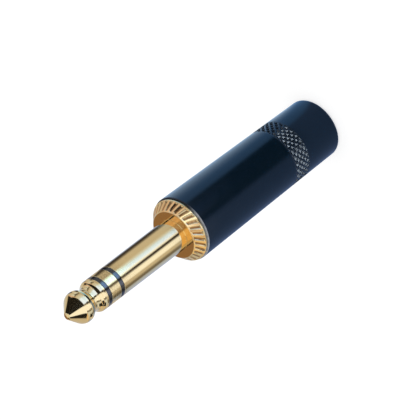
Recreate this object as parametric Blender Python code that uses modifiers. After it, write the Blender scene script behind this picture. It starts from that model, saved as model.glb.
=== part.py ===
"""Stereo jack plug: 6.35 mm, three contacts, with a barrel that screws on over the solder terminals.

The plug stands on the cable end of its barrel. Its axis is Z, the tip points up, and the origin is the
centre of the barrel's rear face. All sizes are in metres.
"""

import math

import bmesh
import bpy
from mathutils import Matrix

MM = 0.001

# Fits
FIT_GAP = 0.04 * MM             # between pieces that are pressed or stacked together
RUNNING_GAP = 0.10 * MM         # radial, between pieces that turn or slide on each other
MERGE_DISTANCE = 0.005 * MM

# Plain finger, which goes into the socket
FINGER_DIAMETER = 6.35 * MM
FINGER_LENGTH = 30.0 * MM       # collar face to tip
RING_WIDTH = 2.55 * MM
INSULATOR_WIDTH = 0.9 * MM

# Tip head
NOSE_RADIUS = 1.1 * MM
NOSE_HALF_ANGLE = math.radians(42.0)
BALL_RADIUS = 1.9 * MM          # of the arc in section, not of the ball's girth
NECK_DEPTH = 0.8 * MM
NECK_LENGTH = 0.2 * MM
NECK_FRONT_FILLET = 1.0 * MM
NECK_REAR_FILLET = 1.6 * MM
SHOULDER_RADIUS = 1.0 * MM
TIP_LAND = 0.5 * MM

# Coaxial rod and tubes inside the finger
ROD_DIAMETER = 2.0 * MM
TIP_INSULATOR_WALL = 0.4 * MM
RING_TUBE_WALL = 0.45 * MM
RING_INSULATOR_WALL = 0.4 * MM

# Collar
COLLAR_FACE_DIAMETER = 9.5 * MM
COLLAR_INSET = 0.2 * MM         # radial step from the barrel's front edge in to the collar's rim
COLLAR_BEVEL_LENGTH = 1.75 * MM
COLLAR_RIM_LENGTH = 0.45 * MM
COLLAR_UNDERCUT_LENGTH = 0.25 * MM      # shadow gap between the rim and the barrel
COLLAR_UNDERCUT_DEPTH = 0.3 * MM
FLUTE_COUNT = 30
FLUTE_DEPTH = 0.24 * MM
FLUTE_MARGIN = 0.2 * MM         # plain bevel left at each end of a flute, along the axis
FLUTE_RUN_OUT = 0.15 * MM

# Threaded spigot, with the thread itself left plain at its outer diameter
THREAD_DIAMETER = 10.0 * MM
SPIGOT_LENGTH = 7.5 * MM
RELIEF_DEPTH = 0.5 * MM
RELIEF_LENGTH = 0.8 * MM
SPIGOT_CHAMFER = 0.4 * MM

# Terminals, stamped from strip
STRIP_THICKNESS = 0.4 * MM
TAG_WIDTH = 1.8 * MM
TAG_LENGTH = 7.0 * MM
TAG_CLEARANCE = 0.2 * MM        # between a tag and the washer that it passes
TAG_BEND = 0.3 * MM             # to the middle of the strip
EYELET_DIAMETER = 0.9 * MM
RING_TAG_ANGLE = math.radians(30.0)
TIP_TAG_ANGLE = math.radians(150.0)
TERMINAL_RING_WIDTH = 0.85 * MM
SLEEVE_RING_WIDTH = 0.6 * MM
STAKE_WIDTH = 0.35 * MM         # how far a rim that is staked over a terminal stands out
STAKE_THICKNESS = 0.35 * MM
BOSS_WALL = 0.55 * MM
BUSH_WALL = 0.45 * MM
BUSH_NOSE_LENGTH = 1.2 * MM
BUSH_FLANGE_THICKNESS = 1.2 * MM
WASHER_DIAMETER = 5.8 * MM
WASHER_THICKNESS = 1.2 * MM
RIVET_HEAD_DIAMETER = 3.2 * MM
RIVET_HEAD_HEIGHT = 0.6 * MM

# Sleeve terminal and its cable clamp
CLAMP_STRIP_WIDTH = 2.2 * MM
CLAMP_STRIP_ANGLE = math.radians(270.0)
CLAMP_LENGTH = 5.5 * MM
CLAMP_END_HEIGHT = 7.0 * MM     # the clamp's rear edge above the barrel's rear face
CLAMP_CLEARANCE = 0.1 * MM      # between the strip and the staked rim that it passes
CLAMP_HALF_ANGLE = math.radians(115.0)
CLAMP_WING_CORNER = 0.35        # share of the clamp's height that is cut off each corner of its wings
CLAMP_WING_START = 0.7          # share of a wing's sweep at which that cut begins

# Barrel
BARREL_LENGTH = 38.3 * MM
BARREL_FRONT_DIAMETER = 12.9 * MM
BARREL_REAR_DIAMETER = 11.55 * MM
BARREL_FRONT_CHAMFER = 0.15 * MM
BARREL_REAR_FILLET = 0.9 * MM
BARREL_REAR_WALL = 3.5 * MM
BARREL_LEAD_IN = 0.15 * MM
CABLE_BORE_DIAMETER = 7.0 * MM
CABLE_BORE_FILLET = 0.5 * MM

# Knurled band
KNURL_START = 8.9 * MM          # from the barrel's rear face
KNURL_PITCH = 1.14 * MM
KNURL_HALF_ROWS = 7
KNURL_COUNT = 30
KNURL_DEPTH = 0.25 * MM

# Liner
LINER_WALL = 0.5 * MM
LINER_CLEARANCE = 0.15 * MM     # round the sleeve terminal's strip

# Facets
BARREL_STEPS = 2 * KNURL_COUNT
COLLAR_STEPS = 2 * FLUTE_COUNT
FINGER_STEPS = 48
INNER_STEPS = 32
CLAMP_STEPS = 14

# Sizes that follow from the ones above
FINGER_RADIUS = FINGER_DIAMETER / 2
COLLAR_DIAMETER = BARREL_FRONT_DIAMETER - 2 * COLLAR_INSET
ROD_RADIUS = ROD_DIAMETER / 2
TIP_TUBE_BORE = ROD_RADIUS + FIT_GAP
TIP_TUBE_RADIUS = TIP_TUBE_BORE + TIP_INSULATOR_WALL
RING_TUBE_BORE = TIP_TUBE_RADIUS + FIT_GAP
RING_TUBE_RADIUS = RING_TUBE_BORE + RING_TUBE_WALL
RING_INSULATOR_BORE = RING_TUBE_RADIUS + FIT_GAP
RING_INSULATOR_RADIUS = RING_INSULATOR_BORE + RING_INSULATOR_WALL
SLEEVE_BORE = RING_INSULATOR_RADIUS + FIT_GAP
BUSH_NOSE_RADIUS = RING_INSULATOR_BORE + BUSH_WALL
BUSH_SEAT_RADIUS = BUSH_NOSE_RADIUS + FIT_GAP
BOSS_RADIUS = BUSH_SEAT_RADIUS + BOSS_WALL
STAKE_RADIUS = BOSS_RADIUS + STAKE_WIDTH
TAG_RADIUS = WASHER_DIAMETER / 2 + TAG_CLEARANCE + STRIP_THICKNESS / 2
CLAMP_RADIUS = STAKE_RADIUS + CLAMP_CLEARANCE + STRIP_THICKNESS / 2
CLAMP_CORNER_RADIUS = math.hypot(CLAMP_RADIUS + STRIP_THICKNESS / 2, CLAMP_STRIP_WIDTH / 2)
LINER_BORE_RADIUS = CLAMP_CORNER_RADIUS + LINER_CLEARANCE
LINER_RADIUS = LINER_BORE_RADIUS + LINER_WALL
BARREL_BORE_RADIUS = LINER_RADIUS + RUNNING_GAP
THREAD_RADIUS = THREAD_DIAMETER / 2

# Heights in the plug's own frame, whose zero is the collar's rear shoulder
COLLAR_FACE_Z = COLLAR_BEVEL_LENGTH + COLLAR_RIM_LENGTH
TIP_Z = COLLAR_FACE_Z + FINGER_LENGTH
SPIGOT_END_Z = -SPIGOT_LENGTH
SLEEVE_RING_TOP_Z = SPIGOT_END_Z - FIT_GAP
SLEEVE_RING_BOTTOM_Z = SLEEVE_RING_TOP_Z - STRIP_THICKNESS
SLEEVE_STAKE_TOP_Z = SLEEVE_RING_BOTTOM_Z - FIT_GAP
SLEEVE_END_Z = SLEEVE_STAKE_TOP_Z - STAKE_THICKNESS
BUSH_FLANGE_TOP_Z = SLEEVE_END_Z - FIT_GAP
BUSH_FLANGE_BOTTOM_Z = BUSH_FLANGE_TOP_Z - BUSH_FLANGE_THICKNESS
RING_TERMINAL_TOP_Z = BUSH_FLANGE_BOTTOM_Z - FIT_GAP
RING_TERMINAL_BOTTOM_Z = RING_TERMINAL_TOP_Z - STRIP_THICKNESS
RING_STAKE_TOP_Z = RING_TERMINAL_BOTTOM_Z - FIT_GAP
RING_TUBE_END_Z = RING_STAKE_TOP_Z - STAKE_THICKNESS
WASHER_TOP_Z = RING_TUBE_END_Z - FIT_GAP
WASHER_BOTTOM_Z = WASHER_TOP_Z - WASHER_THICKNESS
TIP_TERMINAL_TOP_Z = WASHER_BOTTOM_Z - FIT_GAP
TIP_TERMINAL_BOTTOM_Z = TIP_TERMINAL_TOP_Z - STRIP_THICKNESS
RIVET_TOP_Z = TIP_TERMINAL_BOTTOM_Z - FIT_GAP
PLUG_SEAT_HEIGHT = BARREL_LENGTH + FIT_GAP


def clear_scene():
    for item in list(bpy.data.objects):
        bpy.data.objects.remove(item, do_unlink=True)


def new_collection(name):
    collection = bpy.data.collections.new(name)
    bpy.context.scene.collection.children.link(collection)
    return collection


def finish(name, color, roughness, metallic):
    material = bpy.data.materials.new(name)
    material.use_nodes = True
    shader = material.node_tree.nodes["Principled BSDF"]
    shader.inputs["Base Color"].default_value = (*color, 1.0)
    shader.inputs["Roughness"].default_value = roughness
    shader.inputs["Metallic"].default_value = metallic
    return material


def gold_finish(name):
    return finish(name, (0.86, 0.66, 0.33), 0.14, 1.0)


def tinned_finish(name):
    return finish(name, (0.72, 0.70, 0.66), 0.3, 1.0)


def insulator_finish(name):
    return finish(name, (0.012, 0.013, 0.016), 0.2, 0.0)


def empty(name, height, collection):
    carrier = bpy.data.objects.new(name, None)
    carrier.location = (0.0, 0.0, height)
    collection.objects.link(carrier)
    return carrier


def add_object(name, mesh, collection, material, parent):
    piece = bpy.data.objects.new(name, mesh)
    collection.objects.link(piece)
    piece.parent = parent
    mesh.materials.append(material)
    return piece


def arc(center_r, center_z, radius, start, end, segments):
    """Points (r, z) of an arc in section; angle 0 points outwards along r and 90 degrees up along z."""
    points = []
    for index in range(segments + 1):
        angle = start + (end - start) * index / segments
        points.append((center_r + radius * math.cos(angle), center_z + radius * math.sin(angle)))
    return points


def turned(name, outline, steps, collection, material, parent):
    """A turned piece: the outline in section runs down its outer side, then back up its bore or axis."""
    mesh = bpy.data.meshes.new(name)
    on_axis = outline[0][0] == 0.0
    edges = [(i, i + 1) for i in range(len(outline) - 1)]
    if not on_axis:
        edges.append((len(outline) - 1, 0))
    mesh.from_pydata([(r, 0.0, z) for r, z in outline], edges, [])
    piece = add_object(name, mesh, collection, material, parent)
    screw = piece.modifiers.new("turn", "SCREW")
    screw.axis = "Z"
    screw.angle = 2 * math.pi
    screw.steps = steps
    screw.render_steps = steps
    screw.use_merge_vertices = True
    screw.merge_threshold = MERGE_DISTANCE
    screw.use_smooth_shade = True
    return piece


def apply_modifiers(piece):
    """Replace the piece's mesh by the evaluated one, so that its vertices can be worked on."""
    bpy.context.view_layer.update()
    evaluated = piece.evaluated_get(bpy.context.evaluated_depsgraph_get())
    old_mesh = piece.data
    piece.data = bpy.data.meshes.new_from_object(evaluated)
    piece.modifiers.clear()
    bpy.data.meshes.remove(old_mesh)


def shade_round(piece, angle=math.radians(30.0)):
    piece.data.shade_smooth()
    piece.data.set_sharp_from_angle(angle=angle)


def column_of(vertex, steps):
    """Index of a turned piece's vertex round the axis."""
    turn = math.atan2(vertex.co.y, vertex.co.x) / (2 * math.pi)
    return round(turn * steps) % steps


def move_radially(vertex, distance):
    radius = math.hypot(vertex.co.x, vertex.co.y)
    factor = (radius + distance) / radius
    vertex.co.x *= factor
    vertex.co.y *= factor


def tip_outline():
    """Section of the tip head from its apex back to its rear face, and its length."""
    neck_radius = FINGER_RADIUS - NECK_DEPTH
    sine = math.sin(NOSE_HALF_ANGLE)
    cosine = math.cos(NOSE_HALF_ANGLE)
    nose_end_r = NOSE_RADIUS * cosine
    ball_start_r = FINGER_RADIUS - BALL_RADIUS * (1 - cosine)
    cone_length = (ball_start_r - nose_end_r) * cosine / sine
    ball_z = TIP_Z - (NOSE_RADIUS * (1 - sine) + cone_length + BALL_RADIUS * sine)

    front_radii = BALL_RADIUS + NECK_FRONT_FILLET
    front_drop = math.sqrt(2 * front_radii * NECK_DEPTH - NECK_DEPTH ** 2)
    front_angle = math.asin(front_drop / front_radii)
    neck_top_z = ball_z - front_drop
    rear_radii = NECK_REAR_FILLET + SHOULDER_RADIUS
    rear_drop = math.sqrt(2 * rear_radii * NECK_DEPTH - NECK_DEPTH ** 2)
    rear_angle = math.asin(rear_drop / rear_radii)
    neck_bottom_z = neck_top_z - NECK_LENGTH
    land_top_z = neck_bottom_z - rear_drop

    nose = arc(0.0, TIP_Z - NOSE_RADIUS, NOSE_RADIUS, math.pi / 2, NOSE_HALF_ANGLE, 3)
    nose[0] = (0.0, TIP_Z)
    ball = arc(FINGER_RADIUS - BALL_RADIUS, ball_z, BALL_RADIUS, NOSE_HALF_ANGLE, -front_angle, 8)
    neck_front = arc(neck_radius + NECK_FRONT_FILLET, neck_top_z, NECK_FRONT_FILLET,
                     math.pi - front_angle, math.pi, 3)
    neck_rear = arc(neck_radius + NECK_REAR_FILLET, neck_bottom_z, NECK_REAR_FILLET,
                    math.pi, math.pi + rear_angle, 4)
    shoulder = arc(FINGER_RADIUS - SHOULDER_RADIUS, land_top_z, SHOULDER_RADIUS, rear_angle, 0.0, 4)
    head_end_z = land_top_z - TIP_LAND
    outline = nose + ball + neck_front[1:] + neck_rear + shoulder[1:] + [(FINGER_RADIUS, head_end_z)]
    return outline, head_end_z


TIP_OUTLINE, TIP_HEAD_END_Z = tip_outline()
RING_TOP_Z = TIP_HEAD_END_Z - INSULATOR_WIDTH
RING_BOTTOM_Z = RING_TOP_Z - RING_WIDTH
SLEEVE_TOP_Z = RING_BOTTOM_Z - INSULATOR_WIDTH


def make_tip_contact(collection, parent):
    """Tip head, with the rod behind it, riveted over the tip terminal."""
    rivet = arc(RIVET_HEAD_DIAMETER / 2 - RIVET_HEAD_HEIGHT, RIVET_TOP_Z, RIVET_HEAD_HEIGHT,
                0.0, -math.pi / 2, 3)
    rod = [(ROD_RADIUS, TIP_HEAD_END_Z), (ROD_RADIUS, RIVET_TOP_Z)]
    axis_end = [(0.0, RIVET_TOP_Z - RIVET_HEAD_HEIGHT)]
    outline = TIP_OUTLINE + rod + rivet + axis_end
    return turned("tip_contact", outline, FINGER_STEPS, collection, gold_finish("tip_gold"), parent)


def make_front_insulator(name, top_z, bore, tube_radius, tube_end_z, collection, parent):
    """A ring as wide as the finger, with a thin tube behind it."""
    ring_bottom_z = top_z - INSULATOR_WIDTH
    outline = [
        (FINGER_RADIUS, top_z - FIT_GAP),
        (FINGER_RADIUS, ring_bottom_z),
        (tube_radius, ring_bottom_z),
        (tube_radius, tube_end_z),
        (bore, tube_end_z),
        (bore, top_z - FIT_GAP),
    ]
    return turned(name, outline, FINGER_STEPS, collection, insulator_finish(name), parent)


def make_ring_contact(collection, parent):
    """Ring contact, whose tube is flared over the ring terminal."""
    flare_radius = RING_TUBE_RADIUS + STAKE_WIDTH
    outline = [
        (FINGER_RADIUS, RING_TOP_Z - FIT_GAP),
        (FINGER_RADIUS, RING_BOTTOM_Z),
        (RING_TUBE_RADIUS, RING_BOTTOM_Z),
        (RING_TUBE_RADIUS, RING_STAKE_TOP_Z),
        (flare_radius, RING_STAKE_TOP_Z),
        (flare_radius, RING_TUBE_END_Z),
        (RING_TUBE_BORE, RING_TUBE_END_Z),
        (RING_TUBE_BORE, RING_TOP_Z - FIT_GAP),
    ]
    return turned("ring_contact", outline, FINGER_STEPS, collection, gold_finish("ring_gold"), parent)


def collar_bevel_radius(z):
    """Radius of the collar's bevel at height z."""
    share = (COLLAR_FACE_Z - z) / COLLAR_BEVEL_LENGTH
    return (COLLAR_FACE_DIAMETER + (COLLAR_DIAMETER - COLLAR_FACE_DIAMETER) * share) / 2


def make_sleeve_contact(collection, parent):
    """Sleeve, fluted collar and spigot in one, staked over the sleeve terminal at its rear."""
    flute_top_z = COLLAR_FACE_Z - FLUTE_MARGIN
    flute_bottom_z = COLLAR_RIM_LENGTH + FLUTE_MARGIN
    deep_top_z = flute_top_z - FLUTE_RUN_OUT
    deep_bottom_z = flute_bottom_z + FLUTE_RUN_OUT
    bevel_heights = [COLLAR_FACE_Z, flute_top_z, deep_top_z, deep_bottom_z, flute_bottom_z, COLLAR_RIM_LENGTH]
    undercut_radius = COLLAR_DIAMETER / 2 - COLLAR_UNDERCUT_DEPTH
    relief_radius = THREAD_RADIUS - RELIEF_DEPTH
    relief_end_z = -RELIEF_LENGTH
    chamfer_radius = THREAD_RADIUS - SPIGOT_CHAMFER
    seat_z = SLEEVE_END_Z + BUSH_NOSE_LENGTH + FIT_GAP

    outline = [(FINGER_RADIUS, SLEEVE_TOP_Z - FIT_GAP), (FINGER_RADIUS, COLLAR_FACE_Z)]
    outline += [(collar_bevel_radius(z), z) for z in bevel_heights]
    outline += [
        (COLLAR_DIAMETER / 2, COLLAR_UNDERCUT_LENGTH),
        (undercut_radius, COLLAR_UNDERCUT_LENGTH),
        (undercut_radius, 0.0),
        (relief_radius, 0.0),
        (relief_radius, relief_end_z),
        (THREAD_RADIUS, relief_end_z - RELIEF_DEPTH),
        (THREAD_RADIUS, SPIGOT_END_Z + SPIGOT_CHAMFER),
        (chamfer_radius, SPIGOT_END_Z),
        (BOSS_RADIUS, SPIGOT_END_Z),
        (BOSS_RADIUS, SLEEVE_STAKE_TOP_Z),
        (STAKE_RADIUS, SLEEVE_STAKE_TOP_Z),
        (STAKE_RADIUS, SLEEVE_END_Z),
        (BUSH_SEAT_RADIUS, SLEEVE_END_Z),
        (BUSH_SEAT_RADIUS, seat_z),
        (SLEEVE_BORE, seat_z),
        (SLEEVE_BORE, SLEEVE_TOP_Z - FIT_GAP),
    ]
    sleeve = turned("sleeve_contact", outline, COLLAR_STEPS, collection, gold_finish("sleeve_gold"), parent)
    apply_modifiers(sleeve)
    for vertex in sleeve.data.vertices:
        on_flute = deep_bottom_z - MERGE_DISTANCE < vertex.co.z < deep_top_z + MERGE_DISTANCE
        if on_flute and column_of(vertex, COLLAR_STEPS) % 2 == 1:
            if math.hypot(vertex.co.x, vertex.co.y) > COLLAR_FACE_DIAMETER / 2:
                move_radially(vertex, -FLUTE_DEPTH)
    shade_round(sleeve)
    return sleeve


def make_rear_bush(collection, parent):
    """Flanged insulating bush in the sleeve's rear end, round the ring contact's tube."""
    nose_top_z = SLEEVE_END_Z + BUSH_NOSE_LENGTH
    outline = [
        (BUSH_NOSE_RADIUS, nose_top_z),
        (BUSH_NOSE_RADIUS, BUSH_FLANGE_TOP_Z),
        (STAKE_RADIUS, BUSH_FLANGE_TOP_Z),
        (STAKE_RADIUS, BUSH_FLANGE_BOTTOM_Z),
        (RING_INSULATOR_BORE, BUSH_FLANGE_BOTTOM_Z),
        (RING_INSULATOR_BORE, nose_top_z),
    ]
    return turned("rear_bush", outline, INNER_STEPS, collection, insulator_finish("bush_plastic"), parent)


def make_terminal_washer(collection, parent):
    """Insulating washer between the ring terminal and the tip terminal."""
    radius = WASHER_DIAMETER / 2
    outline = [
        (radius, WASHER_TOP_Z),
        (radius, WASHER_BOTTOM_Z),
        (TIP_TUBE_BORE, WASHER_BOTTOM_Z),
        (TIP_TUBE_BORE, WASHER_TOP_Z),
    ]
    finish_of_washer = insulator_finish("washer_plastic")
    return turned("terminal_washer", outline, INNER_STEPS, collection, finish_of_washer, parent)


def strip_mesh(name, stations):
    """Middle surface of a bent strip; each station is (r, z, half width), with the width along Y."""
    shape = bmesh.new()
    rows = []
    for r, z, half_width in stations:
        rows.append((shape.verts.new((r, -half_width, z)), shape.verts.new((r, half_width, z))))
    for (low_a, high_a), (low_b, high_b) in zip(rows, rows[1:]):
        shape.faces.new((low_a, high_a, high_b, low_b))
    mesh = bpy.data.meshes.new(name)
    shape.to_mesh(mesh)
    shape.free()
    return mesh


def round_end(r, z, half_width, segments):
    """Stations of a strip's round end, which starts at height z and runs down."""
    stations = []
    for index in range(1, segments):
        angle = index / segments * math.pi / 2
        stations.append((r, z - half_width * math.sin(angle), half_width * math.cos(angle)))
    last_angle = (segments - 0.5) / segments * math.pi / 2
    stations.append((r, z - half_width * math.sin(last_angle), half_width * math.cos(last_angle)))
    return stations


def bent_strip(start_r, strip_r, z, half_width):
    """Stations of a strip that leaves a terminal's ring outwards and bends down along the plug."""
    stations = [(start_r, z, half_width)]
    bend = arc(strip_r - TAG_BEND, z - TAG_BEND, TAG_BEND, math.pi / 2, 0.0, 4)
    stations += [(r, height, half_width) for r, height in bend]
    return stations


def solidify(piece):
    wall = piece.modifiers.new("strip", "SOLIDIFY")
    wall.thickness = STRIP_THICKNESS
    wall.offset = 0.0


def boolean(piece, tool, operation):
    step = piece.modifiers.new(operation.lower(), "BOOLEAN")
    step.operation = operation
    step.solver = "EXACT"
    step.object = tool


def hide_as_tool(tool):
    tool.hide_render = True
    tool.display_type = "WIRE"


def terminal_ring(name, bore, width, top_z, collection, material, parent):
    """The flat ring of a stamped terminal."""
    outer = bore + width
    bottom_z = top_z - STRIP_THICKNESS
    outline = [(outer, top_z), (outer, bottom_z), (bore, bottom_z), (bore, top_z)]
    ring = turned(name, outline, INNER_STEPS, collection, material, parent)
    apply_modifiers(ring)
    return ring


def eyelet_cutter(name, radius, z, angle, collection, parent):
    """A pin that cuts the wire's hole through a tag, across the tag's strip."""
    shape = bmesh.new()
    turn = Matrix.Rotation(angle, 4, "Z") @ Matrix.Translation((radius, 0.0, z))
    turn = turn @ Matrix.Rotation(math.pi / 2, 4, "Y")
    bmesh.ops.create_cone(shape, cap_ends=True, segments=16, radius1=EYELET_DIAMETER / 2,
                          radius2=EYELET_DIAMETER / 2, depth=4 * STRIP_THICKNESS, matrix=turn)
    mesh = bpy.data.meshes.new(name)
    shape.to_mesh(mesh)
    shape.free()
    cutter = bpy.data.objects.new(name, mesh)
    collection.objects.link(cutter)
    cutter.parent = parent
    hide_as_tool(cutter)
    return cutter


def make_solder_terminal(name, bore, top_z, angle, material, parts, cutters, parent):
    """Ring with a tag that is bent back towards the cable and has a hole for the wire."""
    middle_z = top_z - STRIP_THICKNESS / 2
    half_width = TAG_WIDTH / 2
    straight_end_z = middle_z - TAG_LENGTH + half_width
    stations = bent_strip(bore + TERMINAL_RING_WIDTH / 2, TAG_RADIUS, middle_z, half_width)
    stations.append((TAG_RADIUS, straight_end_z, half_width))
    stations += round_end(TAG_RADIUS, straight_end_z, half_width, 4)
    tag = bpy.data.objects.new(name + "_tag", strip_mesh(name + "_tag", stations))
    cutters.objects.link(tag)
    tag.parent = parent
    tag.rotation_euler = (0.0, 0.0, angle)
    hide_as_tool(tag)
    solidify(tag)

    ring = terminal_ring(name, bore, TERMINAL_RING_WIDTH, top_z, parts, material, parent)
    eyelet = eyelet_cutter(name + "_eyelet", TAG_RADIUS, straight_end_z, angle, cutters, parent)
    boolean(ring, tag, "UNION")
    boolean(ring, eyelet, "DIFFERENCE")
    return ring


def clamp_shell(name, top_z, bottom_z, collection, parent):
    """Open cradle of the cable clamp, whose wings the user crimps round the cable."""
    shape = bmesh.new()
    columns = []
    height = top_z - bottom_z
    for index in range(CLAMP_STEPS + 1):
        share = 2 * index / CLAMP_STEPS - 1
        angle = CLAMP_STRIP_ANGLE + share * CLAMP_HALF_ANGLE
        corner = max(0.0, (abs(share) - CLAMP_WING_START) / (1.0 - CLAMP_WING_START))
        cut = corner * CLAMP_WING_CORNER * height
        x = CLAMP_RADIUS * math.cos(angle)
        y = CLAMP_RADIUS * math.sin(angle)
        columns.append((shape.verts.new((x, y, bottom_z + cut)), shape.verts.new((x, y, top_z - cut))))
    for (low_a, high_a), (low_b, high_b) in zip(columns, columns[1:]):
        shape.faces.new((low_a, low_b, high_b, high_a))
    mesh = bpy.data.meshes.new(name)
    shape.to_mesh(mesh)
    shape.free()
    shell = bpy.data.objects.new(name, mesh)
    collection.objects.link(shell)
    shell.parent = parent
    hide_as_tool(shell)
    solidify(shell)
    return shell


def make_sleeve_terminal(parts, cutters, parent):
    """Earth terminal: ring, long strip and cable clamp, stamped in one."""
    bore = BOSS_RADIUS + FIT_GAP
    middle_z = SLEEVE_RING_TOP_Z - STRIP_THICKNESS / 2
    clamp_bottom_z = CLAMP_END_HEIGHT - PLUG_SEAT_HEIGHT
    clamp_top_z = clamp_bottom_z + CLAMP_LENGTH
    half_width = CLAMP_STRIP_WIDTH / 2
    stations = bent_strip(bore + SLEEVE_RING_WIDTH / 4, CLAMP_RADIUS, middle_z, half_width)
    stations.append((CLAMP_RADIUS, (clamp_top_z + clamp_bottom_z) / 2, half_width))
    strip = bpy.data.objects.new("sleeve_terminal_strip", strip_mesh("sleeve_terminal_strip", stations))
    cutters.objects.link(strip)
    strip.parent = parent
    strip.rotation_euler = (0.0, 0.0, CLAMP_STRIP_ANGLE)
    hide_as_tool(strip)
    solidify(strip)

    material = tinned_finish("sleeve_terminal_tin")
    ring = terminal_ring("sleeve_terminal", bore, SLEEVE_RING_WIDTH, SLEEVE_RING_TOP_Z, parts, material,
                         parent)
    shell = clamp_shell("sleeve_terminal_clamp", clamp_top_z, clamp_bottom_z, cutters, parent)
    boolean(ring, strip, "UNION")
    boolean(ring, shell, "UNION")
    return ring


def make_liner(collection, parent):
    """Plastic tube that keeps the terminals off the barrel."""
    length = PLUG_SEAT_HEIGHT + SPIGOT_END_Z - BARREL_REAR_WALL - 2 * FIT_GAP
    outline = [
        (LINER_RADIUS, length),
        (LINER_RADIUS, 0.0),
        (LINER_BORE_RADIUS, 0.0),
        (LINER_BORE_RADIUS, length),
    ]
    plastic = finish("liner_plastic", (0.78, 0.78, 0.74), 0.35, 0.0)
    return turned("insulating_liner", outline, INNER_STEPS, collection, plastic, parent)


def barrel_radius(z):
    """Outer radius of the tapered barrel at height z."""
    share = z / BARREL_LENGTH
    return (BARREL_REAR_DIAMETER + (BARREL_FRONT_DIAMETER - BARREL_REAR_DIAMETER) * share) / 2


def knurl_barrel(barrel):
    """Press diamond pits between crossed ridges: rows and columns of vertices are high and low in turn."""
    row_height = KNURL_PITCH / 2
    shape = bmesh.new()
    shape.from_mesh(barrel.data)
    crests = set()
    band = set()
    for vertex in shape.verts:
        row = (vertex.co.z - KNURL_START) / row_height
        outside = math.hypot(vertex.co.x, vertex.co.y) > barrel_radius(vertex.co.z) - KNURL_DEPTH
        if not outside or row < -0.1 or row > KNURL_HALF_ROWS + 0.1:
            continue
        band.add(vertex)
        inner_row = 0.5 < row < KNURL_HALF_ROWS - 0.5
        if (round(row) + column_of(vertex, BARREL_STEPS)) % 2 == 0:
            crests.add(vertex)
        elif inner_row:
            move_radially(vertex, -KNURL_DEPTH)
    for face in list(shape.faces):
        if len(face.verts) == 4 and all(vertex in band for vertex in face.verts):
            ridge = [vertex for vertex in face.verts if vertex in crests]
            bmesh.utils.face_split(face, ridge[0], ridge[1])
    shape.to_mesh(barrel.data)
    shape.free()


def make_barrel(collection, parent):
    """Tapered shell with a knurled band, a cable entry at its rear and a threaded mouth in front."""
    front_radius = BARREL_FRONT_DIAMETER / 2
    cable_radius = CABLE_BORE_DIAMETER / 2
    thread_bore = THREAD_RADIUS + RUNNING_GAP
    thread_end_z = PLUG_SEAT_HEIGHT + SPIGOT_END_Z - FIT_GAP
    fillet_center_r = barrel_radius(BARREL_REAR_FILLET) - BARREL_REAR_FILLET
    knurl_rows = [KNURL_START + row * KNURL_PITCH / 2 for row in range(KNURL_HALF_ROWS, -1, -1)]

    outline = [
        (front_radius - BARREL_FRONT_CHAMFER, BARREL_LENGTH),
        (front_radius, BARREL_LENGTH - BARREL_FRONT_CHAMFER),
    ]
    outline += [(barrel_radius(z), z) for z in knurl_rows]
    outline += arc(fillet_center_r, BARREL_REAR_FILLET, BARREL_REAR_FILLET, 0.0, -math.pi / 2, 4)
    outline += arc(cable_radius + CABLE_BORE_FILLET, CABLE_BORE_FILLET, CABLE_BORE_FILLET,
                   -math.pi / 2, -math.pi, 3)
    outline += [
        (cable_radius, BARREL_REAR_WALL),
        (BARREL_BORE_RADIUS, BARREL_REAR_WALL),
        (BARREL_BORE_RADIUS, thread_end_z),
        (thread_bore, thread_end_z),
        (thread_bore, BARREL_LENGTH - BARREL_LEAD_IN),
        (thread_bore + BARREL_LEAD_IN, BARREL_LENGTH),
    ]
    coating = finish("barrel_black", (0.013, 0.018, 0.028), 0.35, 0.0)
    barrel = turned("barrel", outline, BARREL_STEPS, collection, coating, parent)
    apply_modifiers(barrel)
    knurl_barrel(barrel)
    shade_round(barrel)
    return barrel


def main():
    clear_scene()
    parts = new_collection("stereo_jack_plug")
    cutters = new_collection("cutters")
    barrel_axis = empty("barrel_axis", 0.0, parts)
    liner_axis = empty("liner_axis", BARREL_REAR_WALL + FIT_GAP, parts)
    plug_axis = empty("plug_axis", PLUG_SEAT_HEIGHT, parts)

    make_barrel(parts, barrel_axis)
    make_liner(parts, liner_axis)
    make_tip_contact(parts, plug_axis)
    make_front_insulator("tip_insulator", TIP_HEAD_END_Z, TIP_TUBE_BORE, TIP_TUBE_RADIUS,
                         RING_TUBE_END_Z, parts, plug_axis)
    make_ring_contact(parts, plug_axis)
    make_front_insulator("ring_insulator", RING_BOTTOM_Z, RING_INSULATOR_BORE, RING_INSULATOR_RADIUS,
                         SLEEVE_END_Z + BUSH_NOSE_LENGTH + FIT_GAP, parts, plug_axis)
    make_sleeve_contact(parts, plug_axis)
    make_sleeve_terminal(parts, cutters, plug_axis)
    make_rear_bush(parts, plug_axis)
    make_solder_terminal("ring_terminal", RING_TUBE_RADIUS + FIT_GAP, RING_TERMINAL_TOP_Z, RING_TAG_ANGLE,
                         tinned_finish("ring_terminal_tin"), parts, cutters, plug_axis)
    make_terminal_washer(parts, plug_axis)
    make_solder_terminal("tip_terminal", ROD_RADIUS + FIT_GAP, TIP_TERMINAL_TOP_Z, TIP_TAG_ANGLE,
                         tinned_finish("tip_terminal_tin"), parts, cutters, plug_axis)


main()
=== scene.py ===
"""Looks of a stereo jack plug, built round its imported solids.

The plug stands on the cable end of its barrel, its axis is Z and the tip points up. Lengths are in metres.
Its turned pieces are turned again here in fine steps, because their finish shows every facet.
"""

import math

import bpy
import numpy as np
from mathutils import Matrix, Vector


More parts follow.
